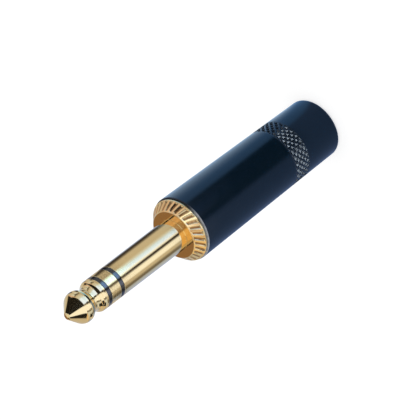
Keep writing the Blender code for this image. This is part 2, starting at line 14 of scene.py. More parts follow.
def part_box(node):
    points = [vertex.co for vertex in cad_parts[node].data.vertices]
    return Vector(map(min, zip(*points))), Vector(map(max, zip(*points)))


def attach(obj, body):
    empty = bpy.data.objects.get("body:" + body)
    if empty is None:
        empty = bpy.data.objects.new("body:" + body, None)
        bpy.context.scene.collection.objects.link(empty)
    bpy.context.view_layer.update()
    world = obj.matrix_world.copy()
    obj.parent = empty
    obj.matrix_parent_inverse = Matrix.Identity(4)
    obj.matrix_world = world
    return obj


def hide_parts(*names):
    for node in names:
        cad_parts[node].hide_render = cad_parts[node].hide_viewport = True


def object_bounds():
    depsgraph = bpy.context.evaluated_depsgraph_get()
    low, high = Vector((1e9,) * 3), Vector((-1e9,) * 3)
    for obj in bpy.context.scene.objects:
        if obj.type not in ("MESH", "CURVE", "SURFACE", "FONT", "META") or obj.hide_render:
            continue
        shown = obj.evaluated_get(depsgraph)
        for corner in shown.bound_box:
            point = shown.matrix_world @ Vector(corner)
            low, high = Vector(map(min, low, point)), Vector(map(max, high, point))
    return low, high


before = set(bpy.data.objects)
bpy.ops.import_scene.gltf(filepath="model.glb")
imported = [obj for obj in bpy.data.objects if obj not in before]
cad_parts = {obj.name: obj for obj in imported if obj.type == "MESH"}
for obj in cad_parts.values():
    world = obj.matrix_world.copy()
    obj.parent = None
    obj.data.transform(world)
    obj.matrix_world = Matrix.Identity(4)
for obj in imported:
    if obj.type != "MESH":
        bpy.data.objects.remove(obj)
CAD_LOW, CAD_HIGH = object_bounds()

MM = 0.001
WELD = 0.001 * MM               # vertices closer than this are one

# Places that come from the frame
TIP_Z = CAD_HIGH.z
FINGER_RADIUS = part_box("ring_contact")[1].x
RING_TOP_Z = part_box("ring_contact")[1].z
BARREL_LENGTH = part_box("barrel")[1].z
BARREL_FRONT_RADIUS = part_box("barrel")[1].x
LINER_LOW, LINER_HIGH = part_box("insulating_liner")
SLEEVE_TOP_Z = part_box("sleeve_contact")[1].z
SLEEVE_END_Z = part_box("sleeve_contact")[0].z
COLLAR_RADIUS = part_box("sleeve_contact")[1].x
RING_TUBE_END_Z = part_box("ring_contact")[0].z
TIP_TUBE_END_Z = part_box("tip_insulator")[0].z
RING_INSULATOR_END_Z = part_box("ring_insulator")[0].z
RIVET_END_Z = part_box("tip_contact")[0].z
BUSH_LOW, BUSH_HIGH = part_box("rear_bush")
WASHER_LOW, WASHER_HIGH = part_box("terminal_washer")

# Fits
FIT_GAP = 0.04 * MM
RUNNING_GAP = 0.10 * MM

# Finger
INSULATOR_WIDTH = 0.9 * MM
RING_WIDTH = 2.55 * MM
NOSE_RADIUS = 1.1 * MM
NOSE_HALF_ANGLE = math.radians(42.0)
BALL_RADIUS = 1.9 * MM
NECK_DEPTH = 0.8 * MM
NECK_LENGTH = 0.2 * MM
NECK_FRONT_FILLET = 1.0 * MM
NECK_REAR_FILLET = 1.6 * MM
SHOULDER_RADIUS = 1.0 * MM
ROD_RADIUS = 1.0 * MM
TIP_INSULATOR_WALL = 0.4 * MM
RING_TUBE_WALL = 0.45 * MM
RING_INSULATOR_WALL = 0.4 * MM
EDGE = 0.04 * MM                # broken edge of a turned piece
EASED_TURN = math.radians(20.0)  # a corner that turns less than this stays as it is
EASED_SHARE = 5                 # a round takes at most one part in so many of each side
EASED_CORNER = 0.6              # share of the corner in the middle point of a round
EASED_END = 0.2                 # and of each of the round's ends
SMOOTH_ANGLE = 32.0             # edges sharper than this many degrees stay sharp

# Collar and spigot
COLLAR_HEIGHT = 2.2 * MM
COLLAR_FACE_RADIUS = 4.75 * MM
COLLAR_BEVEL_LENGTH = 1.75 * MM
UNDERCUT_LENGTH = 0.25 * MM     # shadow gap between the collar's rim and the barrel
UNDERCUT_DEPTH = 0.3 * MM
FLUTE_COUNT = 30
FLUTE_DEPTH = 0.24 * MM
FLUTE_WIDTH = 0.6               # share of the pitch
FLUTE_LEAN = math.radians(9.0)  # turn of a flute between the rim and the face
FLUTE_FACE_MARGIN = 0.2 * MM
FLUTE_RIM_MARGIN = 0.08 * MM
FLUTE_RUN_OUT = 0.12 * MM
THREAD_RADIUS = 5.0 * MM
THREAD_PITCH = 0.75 * MM
THREAD_DEPTH = 0.42 * MM
THREAD_ROOT = 0.12              # share of the half pitch that is flat at the root
THREAD_FLANK = 0.70             # share of the half pitch that the flank takes
THREAD_ROWS = 10                # steps along one pitch
RELIEF_DEPTH = 0.5 * MM
RELIEF_LENGTH = 0.8 * MM
SPIGOT_LENGTH = 7.5 * MM
SPIGOT_CHAMFER = 0.4 * MM
STAKE_WIDTH = 0.35 * MM
STAKE_THICKNESS = 0.35 * MM
BOSS_WALL = 0.55 * MM
BUSH_WALL = 0.45 * MM
BUSH_NOSE_LENGTH = 1.2 * MM
BUSH_FLANGE_THICKNESS = 1.2 * MM
RIVET_HEAD_RADIUS = 1.6 * MM
RIVET_HEAD_HEIGHT = 0.6 * MM

# Barrel
BARREL_REAR_RADIUS = 5.775 * MM
BARREL_FRONT_CHAMFER = 0.15 * MM
BARREL_REAR_FILLET = 0.9 * MM
BARREL_REAR_WALL = 3.5 * MM
BARREL_LEAD_IN = 0.15 * MM
CABLE_BORE_RADIUS = 3.5 * MM
CABLE_BORE_FILLET = 0.5 * MM
KNURL_START = 8.9 * MM
KNURL_PITCH = 1.14 * MM
KNURL_HALF_ROWS = 7
KNURL_COUNT = 30
KNURL_DEPTH = 0.25 * MM
KNURL_EDGE = 0.08 * MM          # run-out at the ends of the band
KNURL_LAND = 0.09               # share of a pit's half width that its ridge is flat on top
KNURL_CELLS = 8                 # steps from a ridge to the middle of a pit
KNURL_SMOOTH_ANGLE = 24.0       # edges sharper than this many degrees stay sharp
RIDGE_WEAR_AND_HIGHLIGHT = 0.06               # faint painted highlight and light rubbing on the ridges, as a share of the front edge's painted highlight
FRONT_SUPPORT = 1.5             # depth of the points that keep the side straight, in chamfers
FRONT_HIGHLIGHT_DEPTH = 1.07         # depth that the front edge's painted highlight reaches, in chamfers
HIGHLIGHT_START = 0.45               # the front edge gets its painted highlight, on its lit side, where its cosine from +X is less than this
HIGHLIGHT_BLEND = 0.5                # change of that cosine from no painted highlight to the full one
LINER_WALL = 0.5 * MM

# Steps round the axis
BARREL_STEPS = 2 * KNURL_CELLS * KNURL_COUNT
SLEEVE_STEPS = 12 * FLUTE_COUNT
FINGER_STEPS = 144
INNER_STEPS = 96

# Sizes that follow from the ones above
TIP_TUBE_BORE = ROD_RADIUS + FIT_GAP
TIP_TUBE_RADIUS = TIP_TUBE_BORE + TIP_INSULATOR_WALL
RING_TUBE_BORE = TIP_TUBE_RADIUS + FIT_GAP
RING_TUBE_RADIUS = RING_TUBE_BORE + RING_TUBE_WALL
RING_INSULATOR_BORE = RING_TUBE_RADIUS + FIT_GAP
RING_INSULATOR_RADIUS = RING_INSULATOR_BORE + RING_INSULATOR_WALL
SLEEVE_BORE = RING_INSULATOR_RADIUS + FIT_GAP
BUSH_NOSE_RADIUS = RING_INSULATOR_BORE + BUSH_WALL
BUSH_SEAT_RADIUS = BUSH_NOSE_RADIUS + FIT_GAP
BOSS_RADIUS = BUSH_SEAT_RADIUS + BOSS_WALL
STAKE_RADIUS = BOSS_RADIUS + STAKE_WIDTH
TIP_HEAD_END_Z = RING_TOP_Z + FIT_GAP + INSULATOR_WIDTH
RING_BOTTOM_Z = RING_TOP_Z + FIT_GAP - RING_WIDTH
COLLAR_SEAT_Z = BARREL_LENGTH + FIT_GAP
COLLAR_FACE_Z = COLLAR_SEAT_Z + COLLAR_HEIGHT
COLLAR_RIM_TOP_Z = COLLAR_FACE_Z - COLLAR_BEVEL_LENGTH
SPIGOT_END_Z = COLLAR_SEAT_Z - SPIGOT_LENGTH


def arc(center_r, center_z, radius, start, end, segments):
    """Points (r, z) of an arc in section; angle 0 points outwards and 90 degrees up."""
    points = []
    for index in range(segments + 1):
        angle = start + (end - start) * index / segments
        points.append((center_r + radius * math.cos(angle), center_z + radius * math.sin(angle)))
    return points


def run(start, end, count):
    """Evenly spaced points of a straight stretch, without its first one."""
    points = []
    for index in range(1, count + 1):
        share = index / count
        points.append((start[0] + (end[0] - start[0]) * share, start[1] + (end[1] - start[1]) * share))
    return points


def eased(corners, size, loop=True):
    """The outline with each sharp corner broken to a small round, between points that keep flats flat."""
    points = []
    count = len(corners)
    for index, corner in enumerate(corners):
        if not loop and index in (0, count - 1):
            points.append(corner)
            continue
        here = Vector(corner)
        before = Vector(corners[index - 1]) - here
        after = Vector(corners[(index + 1) % count]) - here
        if math.pi - before.angle(after) < EASED_TURN:
            points.append(corner)
            continue
        cut = min(size, before.length / EASED_SHARE, after.length / EASED_SHARE)
        first = here + before.normalized() * cut
        last = here + after.normalized() * cut
        middle = here * EASED_CORNER + (first + last) * EASED_END
        for point in (first * 2 - here, first, middle, last, last * 2 - here):
            points.append(tuple(point))
    return points


def spun(name, outline, steps, sweep=2 * math.pi):
    """A vertex is drawn out along the section, and the section is spun round the axis."""
    bpy.ops.object.select_all(action="DESELECT")
    bpy.ops.mesh.primitive_plane_add(size=MM)
    piece = bpy.context.object
    piece.name = name
    piece.data.name = name
    bpy.ops.object.mode_set(mode="EDIT")
    bpy.ops.mesh.merge(type="CENTER")
    bpy.ops.transform.translate(value=(outline[0][0], 0.0, outline[0][1]))
    for (r_a, z_a), (r_b, z_b) in zip(outline, outline[1:]):
        bpy.ops.mesh.extrude_region_move(TRANSFORM_OT_translate={"value": (r_b - r_a, 0.0, z_b - z_a)})
    bpy.ops.mesh.select_all(action="SELECT")
    bpy.ops.mesh.spin(steps=steps, angle=sweep, center=(0.0, 0.0, 0.0), axis=(0.0, 0.0, 1.0),
                      use_auto_merge=False)
    bpy.ops.mesh.select_all(action="SELECT")
    bpy.ops.mesh.remove_doubles(threshold=WELD)
    bpy.ops.mesh.normals_make_consistent(inside=False)
    bpy.ops.object.mode_set(mode="OBJECT")
    return piece


def turned(name, outline, steps, body, replaced, material):
    """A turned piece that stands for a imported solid; an outline off the axis is closed to a ring."""
    if outline[0][0] > 0.0:
        outline = outline + [outline[0]]
    piece = spun(name, outline, steps)
    piece.data.materials.append(material)
    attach(piece, body)
    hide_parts(replaced)
    return piece


def shade(piece, angle=SMOOTH_ANGLE):
    """Smooths the piece, except over edges that are sharper than the angle in degrees."""
    bpy.ops.object.select_all(action="DESELECT")
    piece.select_set(True)
    bpy.context.view_layer.objects.active = piece
    bpy.ops.object.shade_smooth_by_angle(angle=math.radians(angle))


def cylinder_places(piece):
    """Distance from the axis, angle round it and height of each vertex."""
    mesh = piece.data
    points = np.empty(len(mesh.vertices) * 3, np.float32)
    mesh.vertices.foreach_get("co", points)
    points = points.reshape(-1, 3)
    return np.hypot(points[:, 0], points[:, 1]), np.arctan2(points[:, 1], points[:, 0]), points[:, 2]


def press(piece, depth):
    """Moves each vertex towards the axis by its depth."""
    mesh = piece.data
    r, angle, z = cylinder_places(piece)
    target = r - depth
    points = np.stack([target * np.cos(angle), target * np.sin(angle), z], axis=1)
    mesh.vertices.foreach_set("co", points.astype(np.float32).ravel())
    mesh.update()


def mark(piece, name, values):
    """Stores a number at each vertex, which the materials read as an attribute."""
    layer = piece.data.attributes.new(name, "FLOAT", "POINT")
    layer.data.foreach_set("value", np.asarray(values, np.float32))


def smooth_step(x):
    x = np.clip(x, 0.0, 1.0)
    return x * x * (3.0 - 2.0 * x)


def make_tip_contact(material):
    neck_radius = FINGER_RADIUS - NECK_DEPTH
    sine = math.sin(NOSE_HALF_ANGLE)
    cosine = math.cos(NOSE_HALF_ANGLE)
    ball_start_r = FINGER_RADIUS - BALL_RADIUS * (1 - cosine)
    cone_length = (ball_start_r - NOSE_RADIUS * cosine) * cosine / sine
    ball_z = TIP_Z - (NOSE_RADIUS * (1 - sine) + cone_length + BALL_RADIUS * sine)
    front_radii = BALL_RADIUS + NECK_FRONT_FILLET
    front_drop = math.sqrt(2 * front_radii * NECK_DEPTH - NECK_DEPTH ** 2)
    front_angle = math.asin(front_drop / front_radii)
    rear_radii = NECK_REAR_FILLET + SHOULDER_RADIUS
    rear_drop = math.sqrt(2 * rear_radii * NECK_DEPTH - NECK_DEPTH ** 2)
    rear_angle = math.asin(rear_drop / rear_radii)
    neck_top_z = ball_z - front_drop
    neck_bottom_z = neck_top_z - NECK_LENGTH
    land_top_z = neck_bottom_z - rear_drop

    nose = arc(0.0, TIP_Z - NOSE_RADIUS, NOSE_RADIUS, math.pi / 2, NOSE_HALF_ANGLE, 9)
    nose[0] = (0.0, TIP_Z)
    ball = arc(FINGER_RADIUS - BALL_RADIUS, ball_z, BALL_RADIUS, NOSE_HALF_ANGLE, -front_angle, 26)
    cone = run(nose[-1], ball[0], 6)[:-1]
    front = arc(neck_radius + NECK_FRONT_FILLET, neck_top_z, NECK_FRONT_FILLET,
                math.pi - front_angle, math.pi, 10)
    rear = arc(neck_radius + NECK_REAR_FILLET, neck_bottom_z, NECK_REAR_FILLET,
               math.pi, math.pi + rear_angle, 12)
    shoulder = arc(FINGER_RADIUS - SHOULDER_RADIUS, land_top_z, SHOULDER_RADIUS, rear_angle, 0.0, 10)
    rivet_z = RIVET_END_Z + RIVET_HEAD_HEIGHT
    back = eased([
        shoulder[-1],
        (FINGER_RADIUS, TIP_HEAD_END_Z),
        (ROD_RADIUS, TIP_HEAD_END_Z),
        (ROD_RADIUS, rivet_z),
        (RIVET_HEAD_RADIUS, rivet_z),
    ], EDGE, loop=False)
    rivet = arc(RIVET_HEAD_RADIUS - RIVET_HEAD_HEIGHT, rivet_z, RIVET_HEAD_HEIGHT, 0.0, -math.pi / 2, 6)
    outline = nose + cone + ball + front[1:] + rear + shoulder[1:] + back[1:-1] + rivet
    outline.append((0.0, RIVET_END_Z))
    piece = turned("tip_head", outline, FINGER_STEPS, "plug", "tip_contact", material)
    shade(piece)


def make_finger_ring(name, top_z, width, bore, tube_radius, end, replaced, material):
    """A ring of the finger with the tube behind it; end lists the section's points past the tube."""
    outline = eased([
        (FINGER_RADIUS, top_z - FIT_GAP),
        (FINGER_RADIUS, top_z - width),
        (tube_radius, top_z - width),
        *end,
        (bore, top_z - FIT_GAP),
    ], EDGE)
    piece = turned(name, outline, FINGER_STEPS, "plug", replaced, material)
    shade(piece)


def flute_depth(angle, z):
    """Depth of the collar's pressed flutes, as rounded troughs that run out at both ends of the bevel."""
    lean = FLUTE_LEAN * (z - COLLAR_RIM_TOP_Z) / COLLAR_BEVEL_LENGTH
    turn = (angle - lean) * FLUTE_COUNT / (2 * math.pi)
    across = np.abs(turn - np.round(turn)) * 2
    trough = np.clip(1.0 - (across / FLUTE_WIDTH) ** 2, 0.0, 1.0)
    top = (COLLAR_FACE_Z - FLUTE_FACE_MARGIN - z) / FLUTE_RUN_OUT
    bottom = (z - COLLAR_RIM_TOP_Z - FLUTE_RIM_MARGIN) / FLUTE_RUN_OUT
    return FLUTE_DEPTH * trough * smooth_step(top) * smooth_step(bottom)


def thread_depth(angle, z):
    """Depth of the screw thread below its crest, running out at the relief and at the chamfer."""
    turn = (z - SPIGOT_END_Z) / THREAD_PITCH - angle / (2 * math.pi)
    height = np.abs(turn - np.floor(turn) - 0.5) * 2
    flank = np.clip((height - THREAD_ROOT) / THREAD_FLANK, 0.0, 1.0)
    return THREAD_DEPTH * (1.0 - flank)


def make_sleeve(material):
    relief_radius = THREAD_RADIUS - RELIEF_DEPTH
    relief_end_z = COLLAR_SEAT_Z - RELIEF_LENGTH
    chamfer_radius = THREAD_RADIUS - SPIGOT_CHAMFER
    thread_top = (THREAD_RADIUS, relief_end_z - RELIEF_DEPTH)
    thread_bottom = (THREAD_RADIUS, SPIGOT_END_Z + SPIGOT_CHAMFER)
    thread_rows = round((thread_top[1] - thread_bottom[1]) / THREAD_PITCH * THREAD_ROWS)
    bevel_top = (COLLAR_FACE_RADIUS, COLLAR_FACE_Z)
    bevel_end = (COLLAR_RADIUS, COLLAR_RIM_TOP_Z)
    undercut_radius = COLLAR_RADIUS - UNDERCUT_DEPTH
    undercut_z = COLLAR_SEAT_Z + UNDERCUT_LENGTH
    seat_z = SLEEVE_END_Z + BUSH_NOSE_LENGTH + FIT_GAP
    stake_top_z = SLEEVE_END_Z + STAKE_THICKNESS
    outline = eased([
        (SLEEVE_BORE, SLEEVE_TOP_Z),
        (FINGER_RADIUS, SLEEVE_TOP_Z),
        (FINGER_RADIUS, COLLAR_FACE_Z),
        bevel_top,
        bevel_end,
    ], EDGE, loop=False)
    outline = outline[:-1] + run(outline[-2], bevel_end, 30)
    outline += eased([
        bevel_end,
        (COLLAR_RADIUS, undercut_z),
        (undercut_radius, undercut_z),
        (undercut_radius, COLLAR_SEAT_Z),
        (relief_radius, COLLAR_SEAT_Z),
        (relief_radius, relief_end_z),
        thread_top,
    ], EDGE, loop=False)[1:]
    outline += run(thread_top, thread_bottom, thread_rows)
    outline += eased([
        thread_bottom,
        (chamfer_radius, SPIGOT_END_Z),
        (BOSS_RADIUS, SPIGOT_END_Z),
        (BOSS_RADIUS, stake_top_z),
        (STAKE_RADIUS, stake_top_z),
        (STAKE_RADIUS, SLEEVE_END_Z),
        (BUSH_SEAT_RADIUS, SLEEVE_END_Z),
        (BUSH_SEAT_RADIUS, seat_z),
        (SLEEVE_BORE, seat_z),
    ], EDGE, loop=False)[1:]
    piece = turned("sleeve_and_collar", outline, SLEEVE_STEPS, "plug", "sleeve_contact", material)

    r, angle, z = cylinder_places(piece)
    on_bevel = (r > COLLAR_FACE_RADIUS) & (z > COLLAR_RIM_TOP_Z)
    flutes = np.where(on_bevel, flute_depth(angle, z), 0.0)
    on_thread = (np.abs(r - THREAD_RADIUS) < WELD) & (z < relief_end_z) & (z > SPIGOT_END_Z)
    thread = np.where(on_thread, thread_depth(angle, z), 0.0)
    press(piece, flutes + thread)
    # the flutes' depth, from which the gold paints shade into their grooves
    mark(piece, "groove", flutes / FLUTE_DEPTH)
    shade(piece)


def barrel_radius(z):
    return BARREL_REAR_RADIUS + (BARREL_FRONT_RADIUS - BARREL_REAR_RADIUS) * z / BARREL_LENGTH


def knurl_depth(angle, z):
    """Depth of the pressed diamond pits, which leave two crossing families of ridges at the surface."""
    around = angle * KNURL_COUNT / (2 * math.pi)
    along = (z - KNURL_START) / KNURL_PITCH
    first = around + along
    second = around - along
    first = np.abs(first - np.floor(first) - 0.5) * 2
    second = np.abs(second - np.floor(second) - 0.5) * 2
    rows = 2 * along
    end = 1.0 - np.minimum(rows, KNURL_HALF_ROWS - rows)
    rise = np.maximum(np.maximum(first, second), end)
    return KNURL_DEPTH * np.clip(1.0 - rise / (1.0 - KNURL_LAND), 0.0, 1.0)


def make_barrel(material):
    band_height = KNURL_HALF_ROWS * KNURL_PITCH / 2
    band_top = (barrel_radius(KNURL_START + band_height), KNURL_START + band_height)
    band_bottom = (barrel_radius(KNURL_START), KNURL_START)
    behind_edge_z = BARREL_LENGTH - FRONT_SUPPORT * BARREL_FRONT_CHAMFER
    behind_edge = (barrel_radius(behind_edge_z), behind_edge_z)
    above_band = (barrel_radius(band_top[1] + KNURL_EDGE), band_top[1] + KNURL_EDGE)
    below_band = (barrel_radius(KNURL_START - KNURL_EDGE), KNURL_START - KNURL_EDGE)
    thread_bore = THREAD_RADIUS + RUNNING_GAP
    thread_end_z = SPIGOT_END_Z - FIT_GAP
    bore_radius = LINER_HIGH.x + RUNNING_GAP
    fillet_r = barrel_radius(BARREL_REAR_FILLET) - BARREL_REAR_FILLET
    outline = eased([
        (thread_bore + BARREL_LEAD_IN, BARREL_LENGTH),
        (BARREL_FRONT_RADIUS - BARREL_FRONT_CHAMFER, BARREL_LENGTH),
        (BARREL_FRONT_RADIUS, BARREL_LENGTH - BARREL_FRONT_CHAMFER),
        behind_edge,
        above_band,
    ], EDGE / 2, loop=False)
    outline += [band_top] + run(band_top, band_bottom, KNURL_HALF_ROWS * KNURL_CELLS) + [below_band]
    outline += arc(fillet_r, BARREL_REAR_FILLET, BARREL_REAR_FILLET, 0.0, -math.pi / 2, 10)
    outline += arc(CABLE_BORE_RADIUS + CABLE_BORE_FILLET, CABLE_BORE_FILLET, CABLE_BORE_FILLET,
                   -math.pi / 2, -math.pi, 6)
    outline += [
        (CABLE_BORE_RADIUS, BARREL_REAR_WALL),
        (bore_radius, BARREL_REAR_WALL),
        (bore_radius, thread_end_z),
        (thread_bore, thread_end_z),
        (thread_bore, BARREL_LENGTH - BARREL_LEAD_IN),
    ]
    piece = turned("knurled_barrel", outline, BARREL_STEPS, "barrel", "barrel", material)

    r, angle, z = cylinder_places(piece)
    in_band = (z > KNURL_START - WELD) & (z < KNURL_START + band_height + WELD) & (r > thread_bore)
    knurl = np.where(in_band, knurl_depth(angle, z), 0.0)
    # painted highlight: the front chamfer is painted bright bare metal on its lit side only
    at_edge = (r > fillet_r) & (z > BARREL_LENGTH - FRONT_HIGHLIGHT_DEPTH * BARREL_FRONT_CHAMFER)
    lit_side = smooth_step((HIGHLIGHT_START - np.cos(angle)) / HIGHLIGHT_BLEND)
    press(piece, knurl)
    # the pits' depth, from which the coating paints shade into them
    mark(piece, "groove", knurl / KNURL_DEPTH)
    # the ridges get a faint share of it: light rubbing that also stands in for their highlight
    ridges = np.where(in_band & (knurl == 0.0), RIDGE_WEAR_AND_HIGHLIGHT, 0.0)
    mark(piece, "painted_highlight_and_wear", np.where(at_edge, lit_side, ridges))
    shade(piece, KNURL_SMOOTH_ANGLE)


def make_liner(material):
    radius = LINER_HIGH.x
    bore = radius - LINER_WALL
    corners = [
        (radius, LINER_HIGH.z),
        (radius, LINER_LOW.z),
        (bore, LINER_LOW.z),
        (bore, LINER_HIGH.z),
    ]
    piece = turned("liner_tube", eased(corners, EDGE), INNER_STEPS, "liner", "insulating_liner",
                   material)
    shade(piece)


def make_rear_bush(material):
    flange_bottom_z = BUSH_LOW.z
    flange_top_z = flange_bottom_z + BUSH_FLANGE_THICKNESS
    corners = [
        (BUSH_NOSE_RADIUS, BUSH_HIGH.z),
        (BUSH_NOSE_RADIUS, flange_top_z),
        (STAKE_RADIUS, flange_top_z),
        (STAKE_RADIUS, flange_bottom_z),
        (RING_INSULATOR_BORE, flange_bottom_z),
        (RING_INSULATOR_BORE, BUSH_HIGH.z),
    ]
    piece = turned("flanged_bush", eased(corners, EDGE), INNER_STEPS, "plug", "rear_bush",
                   material)
    shade(piece)


def make_terminal_washer(material):
    radius = WASHER_HIGH.x
    corners = [
        (radius, WASHER_HIGH.z),
        (radius, WASHER_LOW.z),
        (TIP_TUBE_BORE, WASHER_LOW.z),
        (TIP_TUBE_BORE, WASHER_HIGH.z),
    ]
    piece = turned("insulating_washer", eased(corners, EDGE), INNER_STEPS, "plug", "terminal_washer",
                   material)
    shade(piece)


class Nodes:
    """Shorthand for building a node tree."""

    def __init__(self, tree):
        self.tree = tree

    def add(self, kind, values=None, links=None, **settings):
        node = self.tree.nodes.new(kind)
        for key, value in settings.items():
            setattr(node, key, value)
        for key, value in (values or {}).items():
            node.inputs[key].default_value = value
        for key, output in (links or {}).items():
            self.tree.links.new(output, node.inputs[key])
        return node


def math_node(nodes, operation, first, second=None, clamp=False):
    links = {0: first}
    values = {}
    if isinstance(second, (int, float)):
        values[1] = second
    elif second is not None:
        links[1] = second
    return nodes.add("ShaderNodeMath", values, links, operation=operation, use_clamp=clamp).outputs[0]


def new_group(name, inputs, output):
    tree = bpy.data.node_groups.new(name, "ShaderNodeTree")
    for label in inputs:
        tree.interface.new_socket(label, in_out="INPUT", socket_type="NodeSocketFloat")
    tree.interface.new_socket(output, in_out="OUTPUT", socket_type="NodeSocketFloat")
    nodes = Nodes(tree)
    return tree, nodes, nodes.add("NodeGroupInput")


def make_turning_group():
    """Fine lines round the axis, as a lathe tool or a polishing belt leaves them."""
    tree, nodes, entry = new_group("turning_lines", ["Lines per mm"], "Height")
    place = nodes.add("ShaderNodeTexCoord")
    parts = nodes.add("ShaderNodeSeparateXYZ", links={0: place.outputs["Object"]})
    square_x = math_node(nodes, "MULTIPLY", parts.outputs["X"], parts.outputs["X"])
    square_y = math_node(nodes, "MULTIPLY", parts.outputs["Y"], parts.outputs["Y"])
    radius = math_node(nodes, "SQRT", math_node(nodes, "ADD", square_x, square_y))
    along = math_node(nodes, "ADD", radius, parts.outputs["Z"])
    scale = math_node(nodes, "MULTIPLY", entry.outputs["Lines per mm"], 1.0 / MM)
    lines = nodes.add("ShaderNodeTexNoise", {"Detail": 2.0, "Roughness": 0.6},
                      {"W": along, "Scale": scale}, noise_dimensions="1D")
    nodes.add("NodeGroupOutput", links={"Height": lines.outputs["Fac"]})
    return tree


def make_smudge_group():
    """Soft patches, as handling leaves them on a polished surface, between 0 and 1."""
    tree, nodes, entry = new_group("smudges", ["Size in mm"], "Mask")
    place = nodes.add("ShaderNodeTexCoord")
    scale = nodes.add("ShaderNodeMath", {0: 1.0 / MM}, {1: entry.outputs["Size in mm"]},
                      operation="DIVIDE").outputs[0]
    patches = nodes.add("ShaderNodeTexNoise", {"Detail": 4.0, "Roughness": 0.55, "Distortion": 0.6},
                        {"Vector": place.outputs["Object"], "Scale": scale})
    mask = nodes.add("ShaderNodeMapRange", {"From Min": 0.32, "From Max": 0.68},
                     {"Value": patches.outputs["Fac"]})
    nodes.add("NodeGroupOutput", links={"Mask": mask.outputs["Result"]})
    return tree


def make_grain_group():
    """Fine grain of a moulded or coated surface."""
    tree, nodes, entry = new_group("fine_grain", ["Grains per mm"], "Height")
    place = nodes.add("ShaderNodeTexCoord")
    scale = math_node(nodes, "MULTIPLY", entry.outputs["Grains per mm"], 1.0 / MM)
    grain = nodes.add("ShaderNodeTexNoise", {"Detail": 3.0, "Roughness": 0.6},
                      {"Vector": place.outputs["Object"], "Scale": scale})
    nodes.add("NodeGroupOutput", links={"Height": grain.outputs["Fac"]})
    return tree


def make_mark_group():
    """A mark that is stored on the mesh, broken up by small patches."""
    tree, nodes, entry = new_group("broken_mark", ["Mark", "Evenness"], "Mask")
    place = nodes.add("ShaderNodeTexCoord")
    patches = nodes.add("ShaderNodeTexNoise", {"Scale": 1.6 / MM, "Detail": 4.0},
                        {"Vector": place.outputs["Object"]})
    cover = math_node(nodes, "ADD", patches.outputs["Fac"], entry.outputs["Evenness"], clamp=True)
    nodes.add("NodeGroupOutput", links={"Mask": math_node(nodes, "MULTIPLY", entry.outputs["Mark"], cover)})
    return tree


def new_material(name, values):
    material = bpy.data.materials.new(name)
    material.use_nodes = True
    shader = material.node_tree.nodes["Principled BSDF"]
    for key, value in values.items():
        shader.inputs[key].default_value = value
    return material, Nodes(material.node_tree), shader


def placed(nodes, group, **values):
    """The group in this material, with its own values; an underscore in a name stands for a space."""
    node = nodes.add("ShaderNodeGroup", node_tree=group)
    for key, value in values.items():
        node.inputs[key.replace("_", " ")].default_value = value
    return node


def stored(nodes, name):
    return nodes.add("ShaderNodeAttribute", attribute_name=name, attribute_type="GEOMETRY").outputs["Fac"]


def mixed(nodes, share, low, high):
    """A colour between two, each of them plain or another node's."""
    values = {}
    links = {0: share}
    for socket, color in ((6, low), (7, high)):
        if isinstance(color, tuple):
            values[socket] = (*color, 1.0)
        else:
            links[socket] = color
    return nodes.add("ShaderNodeMix", values, links, data_type="RGBA").outputs[2]


def set_roughness(nodes, shader, share, low, high):
    span = nodes.add("ShaderNodeMapRange", {"To Min": low, "To Max": high}, {"Value": share})
    nodes.tree.links.new(span.outputs["Result"], shader.inputs["Roughness"])


def set_bump(nodes, shader, height, strength, distance):
    bump = nodes.add("ShaderNodeBump", {"Strength": strength, "Distance": distance}, {"Height": height})
    nodes.tree.links.new(bump.outputs["Normal"], shader.inputs["Normal"])


def gold_material(groups):
    """Bright gold plate over turned brass, with painted shade, a darker brown, in the grooves of the
    pressed flutes.
    """
    material, nodes, shader = new_material("gold_plate", {"Metallic": 1.0})
    smudges = placed(nodes, groups["smudges"], Size_in_mm=2.5).outputs["Mask"]
    plate = mixed(nodes, smudges, (0.955, 0.735, 0.36), (0.94, 0.72, 0.355))
    # painted shade: the grooves of the flutes are darkened towards brown by their depth
    groove_shade = nodes.add("ShaderNodeGroup", {"Evenness": 0.45}, {"Mark": stored(nodes, "groove")},
                        node_tree=groups["broken_mark"]).outputs["Mask"]
    color = mixed(nodes, groove_shade, plate, (0.32, 0.15, 0.045))
    nodes.tree.links.new(color, shader.inputs["Base Color"])
    set_roughness(nodes, shader, smudges, 0.08, 0.115)
    lines = placed(nodes, groups["turning_lines"], Lines_per_mm=14.0)
    set_bump(nodes, shader, lines.outputs["Height"], 0.05, 0.02 * MM)
    return material


def insulator_material(groups):
    """Black moulded plastic, turned flush with the contacts."""
    material, nodes, shader = new_material("black_moulding", {"IOR": 2.0})
    smudges = placed(nodes, groups["smudges"], Size_in_mm=1.5).outputs["Mask"]
    color = mixed(nodes, smudges, (0.003, 0.0035, 0.005), (0.006, 0.007, 0.009))
    nodes.tree.links.new(color, shader.inputs["Base Color"])
    set_roughness(nodes, shader, smudges, 0.06, 0.10)
    grain = placed(nodes, groups["fine_grain"], Grains_per_mm=7.0)
    set_bump(nodes, shader, grain.outputs["Height"], 0.03, 0.01 * MM)
    return material


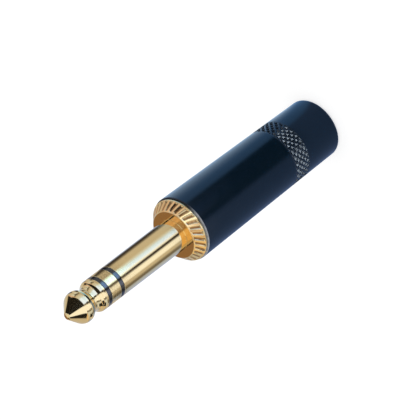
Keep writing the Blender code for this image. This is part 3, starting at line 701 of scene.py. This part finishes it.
def coating_material(groups):
    """Satin blue-black coating, with painted shade in the knurl's pits, a painted highlight along the lit
    side of the front edge, and a faint painted highlight with light rubbing on the knurl's ridges.
    """
    material, nodes, shader = new_material("satin_black_coating", {"IOR": 1.5})
    smudges = placed(nodes, groups["smudges"], Size_in_mm=4.0).outputs["Mask"]
    coat = mixed(nodes, smudges, (0.0005, 0.0095, 0.0205), (0.0012, 0.0105, 0.022))
    # painted shade: the knurl's pits are darkened by their depth
    pit_shade = mixed(nodes, stored(nodes, "groove"), coat, (0.0008, 0.002, 0.004))
    # painted highlight on the front edge's lit side, and faint on the ridges with light rubbing there,
    # towards bare metal
    highlight_and_worn = nodes.add("ShaderNodeGroup", {"Evenness": 0.15}, {"Mark": stored(nodes, "painted_highlight_and_wear")},
                       node_tree=groups["broken_mark"]).outputs["Mask"]
    color = mixed(nodes, highlight_and_worn, pit_shade, (0.60, 0.63, 0.68))
    nodes.tree.links.new(color, shader.inputs["Base Color"])
    set_roughness(nodes, shader, smudges, 0.19, 0.23)
    grain = placed(nodes, groups["fine_grain"], Grains_per_mm=9.0)
    set_bump(nodes, shader, grain.outputs["Height"], 0.08, 0.01 * MM)
    return material


def tin_material(groups):
    """Bright tin on rolled strip, with the strip's lines along the plug."""
    material, nodes, shader = new_material("bright_tin", {"Metallic": 1.0})
    smudges = placed(nodes, groups["smudges"], Size_in_mm=1.2).outputs["Mask"]
    color = mixed(nodes, smudges, (0.74, 0.72, 0.68), (0.60, 0.59, 0.57))
    nodes.tree.links.new(color, shader.inputs["Base Color"])
    set_roughness(nodes, shader, smudges, 0.22, 0.38)
    place = nodes.add("ShaderNodeTexCoord")
    drawn = nodes.add("ShaderNodeMapping", {"Scale": (1.0, 1.0, 0.06)}, {"Vector": place.outputs["Object"]})
    strip = nodes.add("ShaderNodeTexNoise", {"Scale": 12.0 / MM, "Detail": 3.0},
                      {"Vector": drawn.outputs["Vector"]})
    set_bump(nodes, shader, strip.outputs["Fac"], 0.2, 0.01 * MM)
    return material


def liner_material(groups):
    """Milky extruded tube."""
    material, nodes, shader = new_material("milky_liner", {})
    smudges = placed(nodes, groups["smudges"], Size_in_mm=3.0).outputs["Mask"]
    color = mixed(nodes, smudges, (0.80, 0.80, 0.76), (0.72, 0.72, 0.68))
    nodes.tree.links.new(color, shader.inputs["Base Color"])
    set_roughness(nodes, shader, smudges, 0.3, 0.42)
    grain = placed(nodes, groups["fine_grain"], Grains_per_mm=3.0)
    set_bump(nodes, shader, grain.outputs["Height"], 0.15, 0.01 * MM)
    return material


# Camera, at the photograph's angle: the axis is seen 53.3 degrees from the line of sight
PHOTO_SIDE = 420.0
PHOTO_MM_PER_PX = 1 / 5.54
VIEW_ELEVATION = math.radians(36.7)
AXIS_ROLL = math.radians(217.4)         # direction of the plug's tip in the picture, from its right
FRAME_CENTER = Vector((-0.40 * MM, 0.0, 30.6 * MM))
CAMERA_DISTANCE = 2.0
SENSOR = 36.0

# Studio
FLOOR_SIZE = 6.0
FLOOR_GLOW = 0.7                # what the camera and the reflections see the floor shine with
FLOOR_GREY = 0.5
WORLD_LIGHT = 0.8
RING_STEPS = 120
CARD_STEP = 3                   # degrees


def make_camera():
    back = Vector((0.0, -math.cos(VIEW_ELEVATION), math.sin(VIEW_ELEVATION)))
    rise = Vector((0.0, math.sin(VIEW_ELEVATION), math.cos(VIEW_ELEVATION)))
    side = Vector((1.0, 0.0, 0.0))
    right = rise * math.cos(AXIS_ROLL) + side * math.sin(AXIS_ROLL)
    up = rise * math.sin(AXIS_ROLL) - side * math.cos(AXIS_ROLL)
    data = bpy.data.cameras.new("camera")
    camera = bpy.data.objects.new("camera", data)
    bpy.context.scene.collection.objects.link(camera)
    data.type = "PERSP"
    data.sensor_width = SENSOR
    data.lens = SENSOR * CAMERA_DISTANCE / (PHOTO_SIDE * PHOTO_MM_PER_PX * MM)
    data.clip_start = 0.1
    data.clip_end = 10.0
    turn = Matrix((right, up, back)).transposed().to_4x4()
    camera.matrix_world = Matrix.Translation(FRAME_CENTER + back * CAMERA_DISTANCE) @ turn
    bpy.context.scene.camera = camera


def make_floor():
    bpy.ops.object.select_all(action="DESELECT")
    bpy.ops.mesh.primitive_plane_add(size=FLOOR_SIZE)
    floor = bpy.context.object
    floor.name = "studio_floor"
    material = bpy.data.materials.new("white_floor")
    material.use_nodes = True
    tree = material.node_tree
    tree.nodes.clear()
    nodes = Nodes(tree)
    paths = nodes.add("ShaderNodeLightPath")
    seen = math_node(nodes, "MAXIMUM", paths.outputs["Is Camera Ray"], paths.outputs["Is Glossy Ray"])
    seen = math_node(nodes, "MAXIMUM", seen, paths.outputs["Is Transmission Ray"])
    glow = math_node(nodes, "MULTIPLY", seen, FLOOR_GLOW)
    light = nodes.add("ShaderNodeEmission", links={"Strength": glow})
    paper = nodes.add("ShaderNodeBsdfDiffuse", {"Color": (FLOOR_GREY, FLOOR_GREY, FLOOR_GREY, 1.0)})
    both = nodes.add("ShaderNodeAddShader", links={0: light.outputs[0], 1: paper.outputs[0]})
    nodes.add("ShaderNodeOutputMaterial", links={"Surface": both.outputs[0]})
    floor.data.materials.append(material)


def glow_material(name, stops):
    """Light whose colour follows the azimuth round the plug; 0 is the camera's side and 90 is +X."""
    material = bpy.data.materials.new(name)
    material.use_nodes = True
    material.node_tree.nodes.clear()
    nodes = Nodes(material.node_tree)
    place = nodes.add("ShaderNodeTexCoord")
    parts = nodes.add("ShaderNodeSeparateXYZ", links={0: place.outputs["Object"]})
    front = math_node(nodes, "MULTIPLY", parts.outputs["Y"], -1.0)
    azimuth = math_node(nodes, "ARCTAN2", parts.outputs["X"], front)
    share = nodes.add("ShaderNodeMapRange", {"From Min": -math.pi, "From Max": math.pi}, {"Value": azimuth})
    ramp = nodes.add("ShaderNodeValToRGB", links={0: share.outputs["Result"]})
    elements = ramp.color_ramp.elements
    elements.remove(elements[-1])
    for index, (angle, tone) in enumerate(stops):
        position = (angle + 180.0) / 360.0
        stop = elements[0] if index == 0 else elements.new(position)
        stop.position = position
        stop.color = (*TONES[tone], 1.0)
    light = nodes.add("ShaderNodeEmission", links={"Color": ramp.outputs["Color"]})
    nodes.add("ShaderNodeOutputMaterial", links={"Surface": light.outputs[0]})
    return material


def stage_reflected(card, stops):
    """Lights a studio card that shows only in reflections."""
    card.data.materials.append(glow_material(card.name, stops))
    card.visible_camera = False
    card.visible_diffuse = False
    card.visible_shadow = False


def light_ring(name, outline, stops):
    """A ring of studio cards round the plug."""
    ring = spun(name, outline, RING_STEPS)
    stage_reflected(ring, stops)
    return ring


def light_under_finger(name, inner, outer):
    """A ring low over the floor, shaped like the stretch that one insulating ring mirrors to the camera."""
    height = 0.4 * MM
    ring = light_ring(name, [(inner, height), (outer, height)], [
        (-180, "black"), (-90, "black"), (-55, "dim"), (-10, "dim"), (0, "blue_lamp"), (34, "blue_lamp"),
        (48, "dark")])
    r, angle, z = cylinder_places(ring)
    azimuth = np.arctan2(np.cos(angle), -np.sin(angle))
    press(ring, FINGER_RADIUS * (1.0 - np.cos(azimuth / 2)))


def light_card(name, outline, azimuths, tone):
    """One studio card between two azimuths."""
    sweep = azimuths[1] - azimuths[0]
    card = spun(name, outline, round(sweep / CARD_STEP), math.radians(sweep))
    card.rotation_euler.z = math.radians(azimuths[1] - 90.0)
    bpy.ops.object.transform_apply(rotation=True)
    stage_reflected(card, [(-180, tone)])


def hang_by_azimuth(ring, lower, upper):
    """Lets a ring's edges rise and fall with the azimuth; the heights are in mm and alike on both sides."""
    mesh = ring.data
    bottom = min(vertex.co.z for vertex in mesh.vertices)
    for vertex in mesh.vertices:
        stops = lower if vertex.co.z < bottom + WELD else upper
        azimuth = abs(math.degrees(math.atan2(vertex.co.x, -vertex.co.y)))
        angles, heights = zip(*stops)
        vertex.co.z = float(np.interp(azimuth, angles, heights)) * MM
    mesh.update()


# Colours of the studio cards
TONES = {
    "white": (1.05, 1.15, 1.45),
    "bright": (1.5, 1.5, 1.7),
    "blue_white": (0.88, 1.22, 2.3),
    "sky": (0.72, 1.06, 1.95),
    "pale": (0.68, 0.78, 1.0),
    "beige": (0.58, 0.56, 0.56),
    "dim": (0.36, 0.34, 0.33),
    "brown": (0.18, 0.17, 0.16),
    "tan": (0.55, 0.38, 0.30),
    "golden": (0.85, 0.64, 0.40),
    "rosy": (0.70, 0.55, 0.55),
    "copper": (0.27, 0.16, 0.09),
    "grey": (0.44, 0.55, 0.88),
    "slate": (0.18, 0.27, 0.5),
    "cool": (0.24, 0.52, 1.0),
    "cool_bright": (0.66, 0.96, 1.35),
    "dark": (0.05, 0.045, 0.05),
    "black": (0.01, 0.01, 0.01),
    "lamp": (15.0, 18.0, 21.0),
    "soft_lamp": (6.0, 6.6, 7.2),
    "blue_lamp": (1.6, 3.2, 5.0),
}


def make_studio():
    card_height = 0.2 * MM
    inner_edge = 5.0 * MM
    knurl_foot = 17.4 * MM      # the barrel's rear end mirrors the floor inside of it
    split = 57.7 * MM           # the barrel mirrors the floor inside of it, the finger outside of it
    tent_radius = 60.0 * MM
    wall = 160.0 * MM
    low_wall_top = 52.0 * MM
    second_wall = wall - 2 * MM
    third_wall = wall - 3 * MM
    light_ring("ring_inner_floor", [(inner_edge, card_height), (knurl_foot, card_height)], [
        (-180, "slate"), (46, "slate"), (56, "cool"), (84, "cool"), (115, "cool_bright"),
        (150, "cool_bright"), (175, "slate")])
    light_ring("ring_near_floor", [(knurl_foot, card_height), (split, card_height)], [
        (-180, "slate"), (-28, "slate"), (-16, "black"), (52, "black"), (60, "cool"), (84, "cool"),
        (115, "cool_bright"), (150, "cool_bright"), (175, "slate")])
    light_ring("ring_far_floor", [(split, card_height), (wall, card_height)], [
        (-180, "grey"), (-113, "grey"), (-101, "brown"), (-88, "brown"), (-72, "beige"), (-61, "beige"),
        (-51, "white"), (-30, "white"), (-19, "dark"), (-10, "dark"), (-2, "white"), (8, "blue_white"),
        (24, "sky"), (37, "pale"), (52, "beige"), (89, "beige"), (104, "brown"), (114, "dark"),
        (134, "dark"), (152, "grey")])
    light_ring("ring_low_wall", [(wall, card_height), (wall, low_wall_top)], [
        (-180, "dim"), (-95, "beige"), (18, "beige"), (24, "black"), (85, "black"), (95, "beige")])
    knurl = light_ring("ring_knurl_lamp", [(second_wall, 30.0 * MM), (second_wall, 50.0 * MM)], [
        (-180, "dim"), (-116, "dim"), (-108, "soft_lamp"), (-90, "soft_lamp"), (-84, "lamp"), (12, "lamp"),
        (24, "black"), (85, "black"), (95, "beige")])
    hang_by_azimuth(knurl, [(0, 36), (62, 24), (92, 9), (120, 5)], [(0, 52), (62, 39), (92, 24), (120, 9)])
    light_ring("ring_ball_wall", [(wall, low_wall_top), (wall, 320.0 * MM)], [
        (-180, "copper"), (-152, "copper"), (-146, "dark"), (-126, "dark"), (-120, "beige"), (-64, "pale"),
        (-60, "brown"), (-54, "brown"), (-50, "white"), (-16, "white"), (-12, "brown"), (-6, "brown"),
        (-2, "blue_white"), (34, "blue_white"), (44, "pale"), (70, "beige"), (74, "brown"), (80, "brown"),
        (84, "pale"), (150, "beige")])
    high = light_ring("ring_bevel_wall", [(second_wall, 60.0 * MM), (second_wall, 330.0 * MM)], [
        (-180, "copper"), (-158, "copper"), (-146, "golden"), (-80, "golden"), (-66, "tan"), (-26, "tan"),
        (-2, "bright"), (54, "bright"), (70, "rosy"), (100, "rosy"), (130, "tan"), (150, "copper")])
    hang_by_azimuth(high, [(0, 170), (60, 136), (107, 74), (120, 53), (180, 53)],
                    [(0, 215), (60, 175), (107, 108), (143, 60), (152, 330), (180, 330)])
    light_ring("ring_face_wall", [(third_wall, 145.0 * MM), (third_wall, 167.0 * MM)], [
        (-180, "copper"), (-170, "copper"), (-162, "dark"), (-116, "dark"), (-108, "golden"),
        (-24, "golden"), (-8, "copper"), (46, "copper"), (58, "rosy"), (110, "rosy"), (150, "copper")])
    tent = light_ring("ring_nose_tent", [(tent_radius, 40.0 * MM), (tent_radius, 170.0 * MM)], [
        (-180, "beige"), (-111, "beige"), (-104, "black"), (-72, "black"), (-67, "white"), (-17, "white"),
        (-12, "black"), (122, "black"), (127, "beige"), (178, "pale")])
    hang_by_azimuth(tent, [
        (0, 100), (30, 96), (64, 93), (100, 90), (109, 80), (143, 41), (163, 27), (180, 24)], [
        (0, 160), (61, 150), (107, 112), (119, 98), (131, 84), (143, 74), (152, 66), (180, 60)])
    skirt = light_ring("ring_tip_skirt", [(tent_radius, 28.0 * MM), (tent_radius, 62.0 * MM)], [
        (-180, "beige"), (-110, "beige"), (-95, "pale"), (-64, "pale"), (-60, "brown"), (-50, "brown"),
        (-46, "white"), (-18, "white"), (-14, "dark"), (-4, "dark"), (0, "blue_white"), (30, "sky"),
        (44, "pale"), (66, "beige"), (70, "brown"), (80, "brown"), (84, "pale"), (120, "beige")])
    hang_by_azimuth(skirt, [(0, 26), (90, 26), (120, 20), (180, 10)],
                    [(0, 62), (60, 62), (90, 54), (107, 46), (120, 36), (144, 26), (180, 14)])
    light_under_finger("ring_under_tip_insulator", 87.4 * MM, 88.9 * MM)
    light_under_finger("ring_under_sleeve_insulator", 82.7 * MM, 84.2 * MM)
    light_card("card_shoulder", [(10.0 * MM, 62.0 * MM), (10.0 * MM, 66.5 * MM)], (-96, -70), "black")


def make_world():
    world = bpy.data.worlds.new("studio_world")
    bpy.context.scene.world = world
    world.use_nodes = True
    tree = world.node_tree
    tree.nodes.clear()
    nodes = Nodes(tree)
    paths = nodes.add("ShaderNodeLightPath")
    strength = math_node(nodes, "MAXIMUM", paths.outputs["Is Camera Ray"], WORLD_LIGHT)
    light = nodes.add("ShaderNodeBackground", {"Color": (1.0, 1.0, 1.0, 1.0)}, {"Strength": strength})
    nodes.add("ShaderNodeOutputWorld", links={"Surface": light.outputs[0]})


def main():
    groups = {tree.name: tree for tree in (
        make_turning_group(), make_smudge_group(), make_grain_group(), make_mark_group())}
    gold = gold_material(groups)
    insulator = insulator_material(groups)
    coating = coating_material(groups)
    tin = tin_material(groups)
    liner = liner_material(groups)

    make_tip_contact(gold)
    make_finger_ring("tip_insulating_ring", TIP_HEAD_END_Z, INSULATOR_WIDTH, TIP_TUBE_BORE, TIP_TUBE_RADIUS,
                     [(TIP_TUBE_RADIUS, TIP_TUBE_END_Z), (TIP_TUBE_BORE, TIP_TUBE_END_Z)],
                     "tip_insulator", insulator)
    flare = RING_TUBE_RADIUS + STAKE_WIDTH
    flare_z = RING_TUBE_END_Z + STAKE_THICKNESS
    make_finger_ring("ring_band", RING_TOP_Z + FIT_GAP, RING_WIDTH, RING_TUBE_BORE, RING_TUBE_RADIUS,
                     [(RING_TUBE_RADIUS, flare_z), (flare, flare_z), (flare, RING_TUBE_END_Z),
                      (RING_TUBE_BORE, RING_TUBE_END_Z)],
                     "ring_contact", gold)
    make_finger_ring("sleeve_insulating_ring", RING_BOTTOM_Z, INSULATOR_WIDTH, RING_INSULATOR_BORE,
                     RING_INSULATOR_RADIUS,
                     [(RING_INSULATOR_RADIUS, RING_INSULATOR_END_Z),
                      (RING_INSULATOR_BORE, RING_INSULATOR_END_Z)],
                     "ring_insulator", insulator)
    make_sleeve(gold)
    make_barrel(coating)
    make_liner(liner)
    make_rear_bush(insulator)
    make_terminal_washer(insulator)
    for node in ("sleeve_terminal", "ring_terminal", "tip_terminal"):
        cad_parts[node].data.materials.clear()
        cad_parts[node].data.materials.append(tin)

    make_camera()
    make_floor()
    make_studio()
    make_world()
    bpy.context.scene.view_settings.view_transform = "Standard"


main()
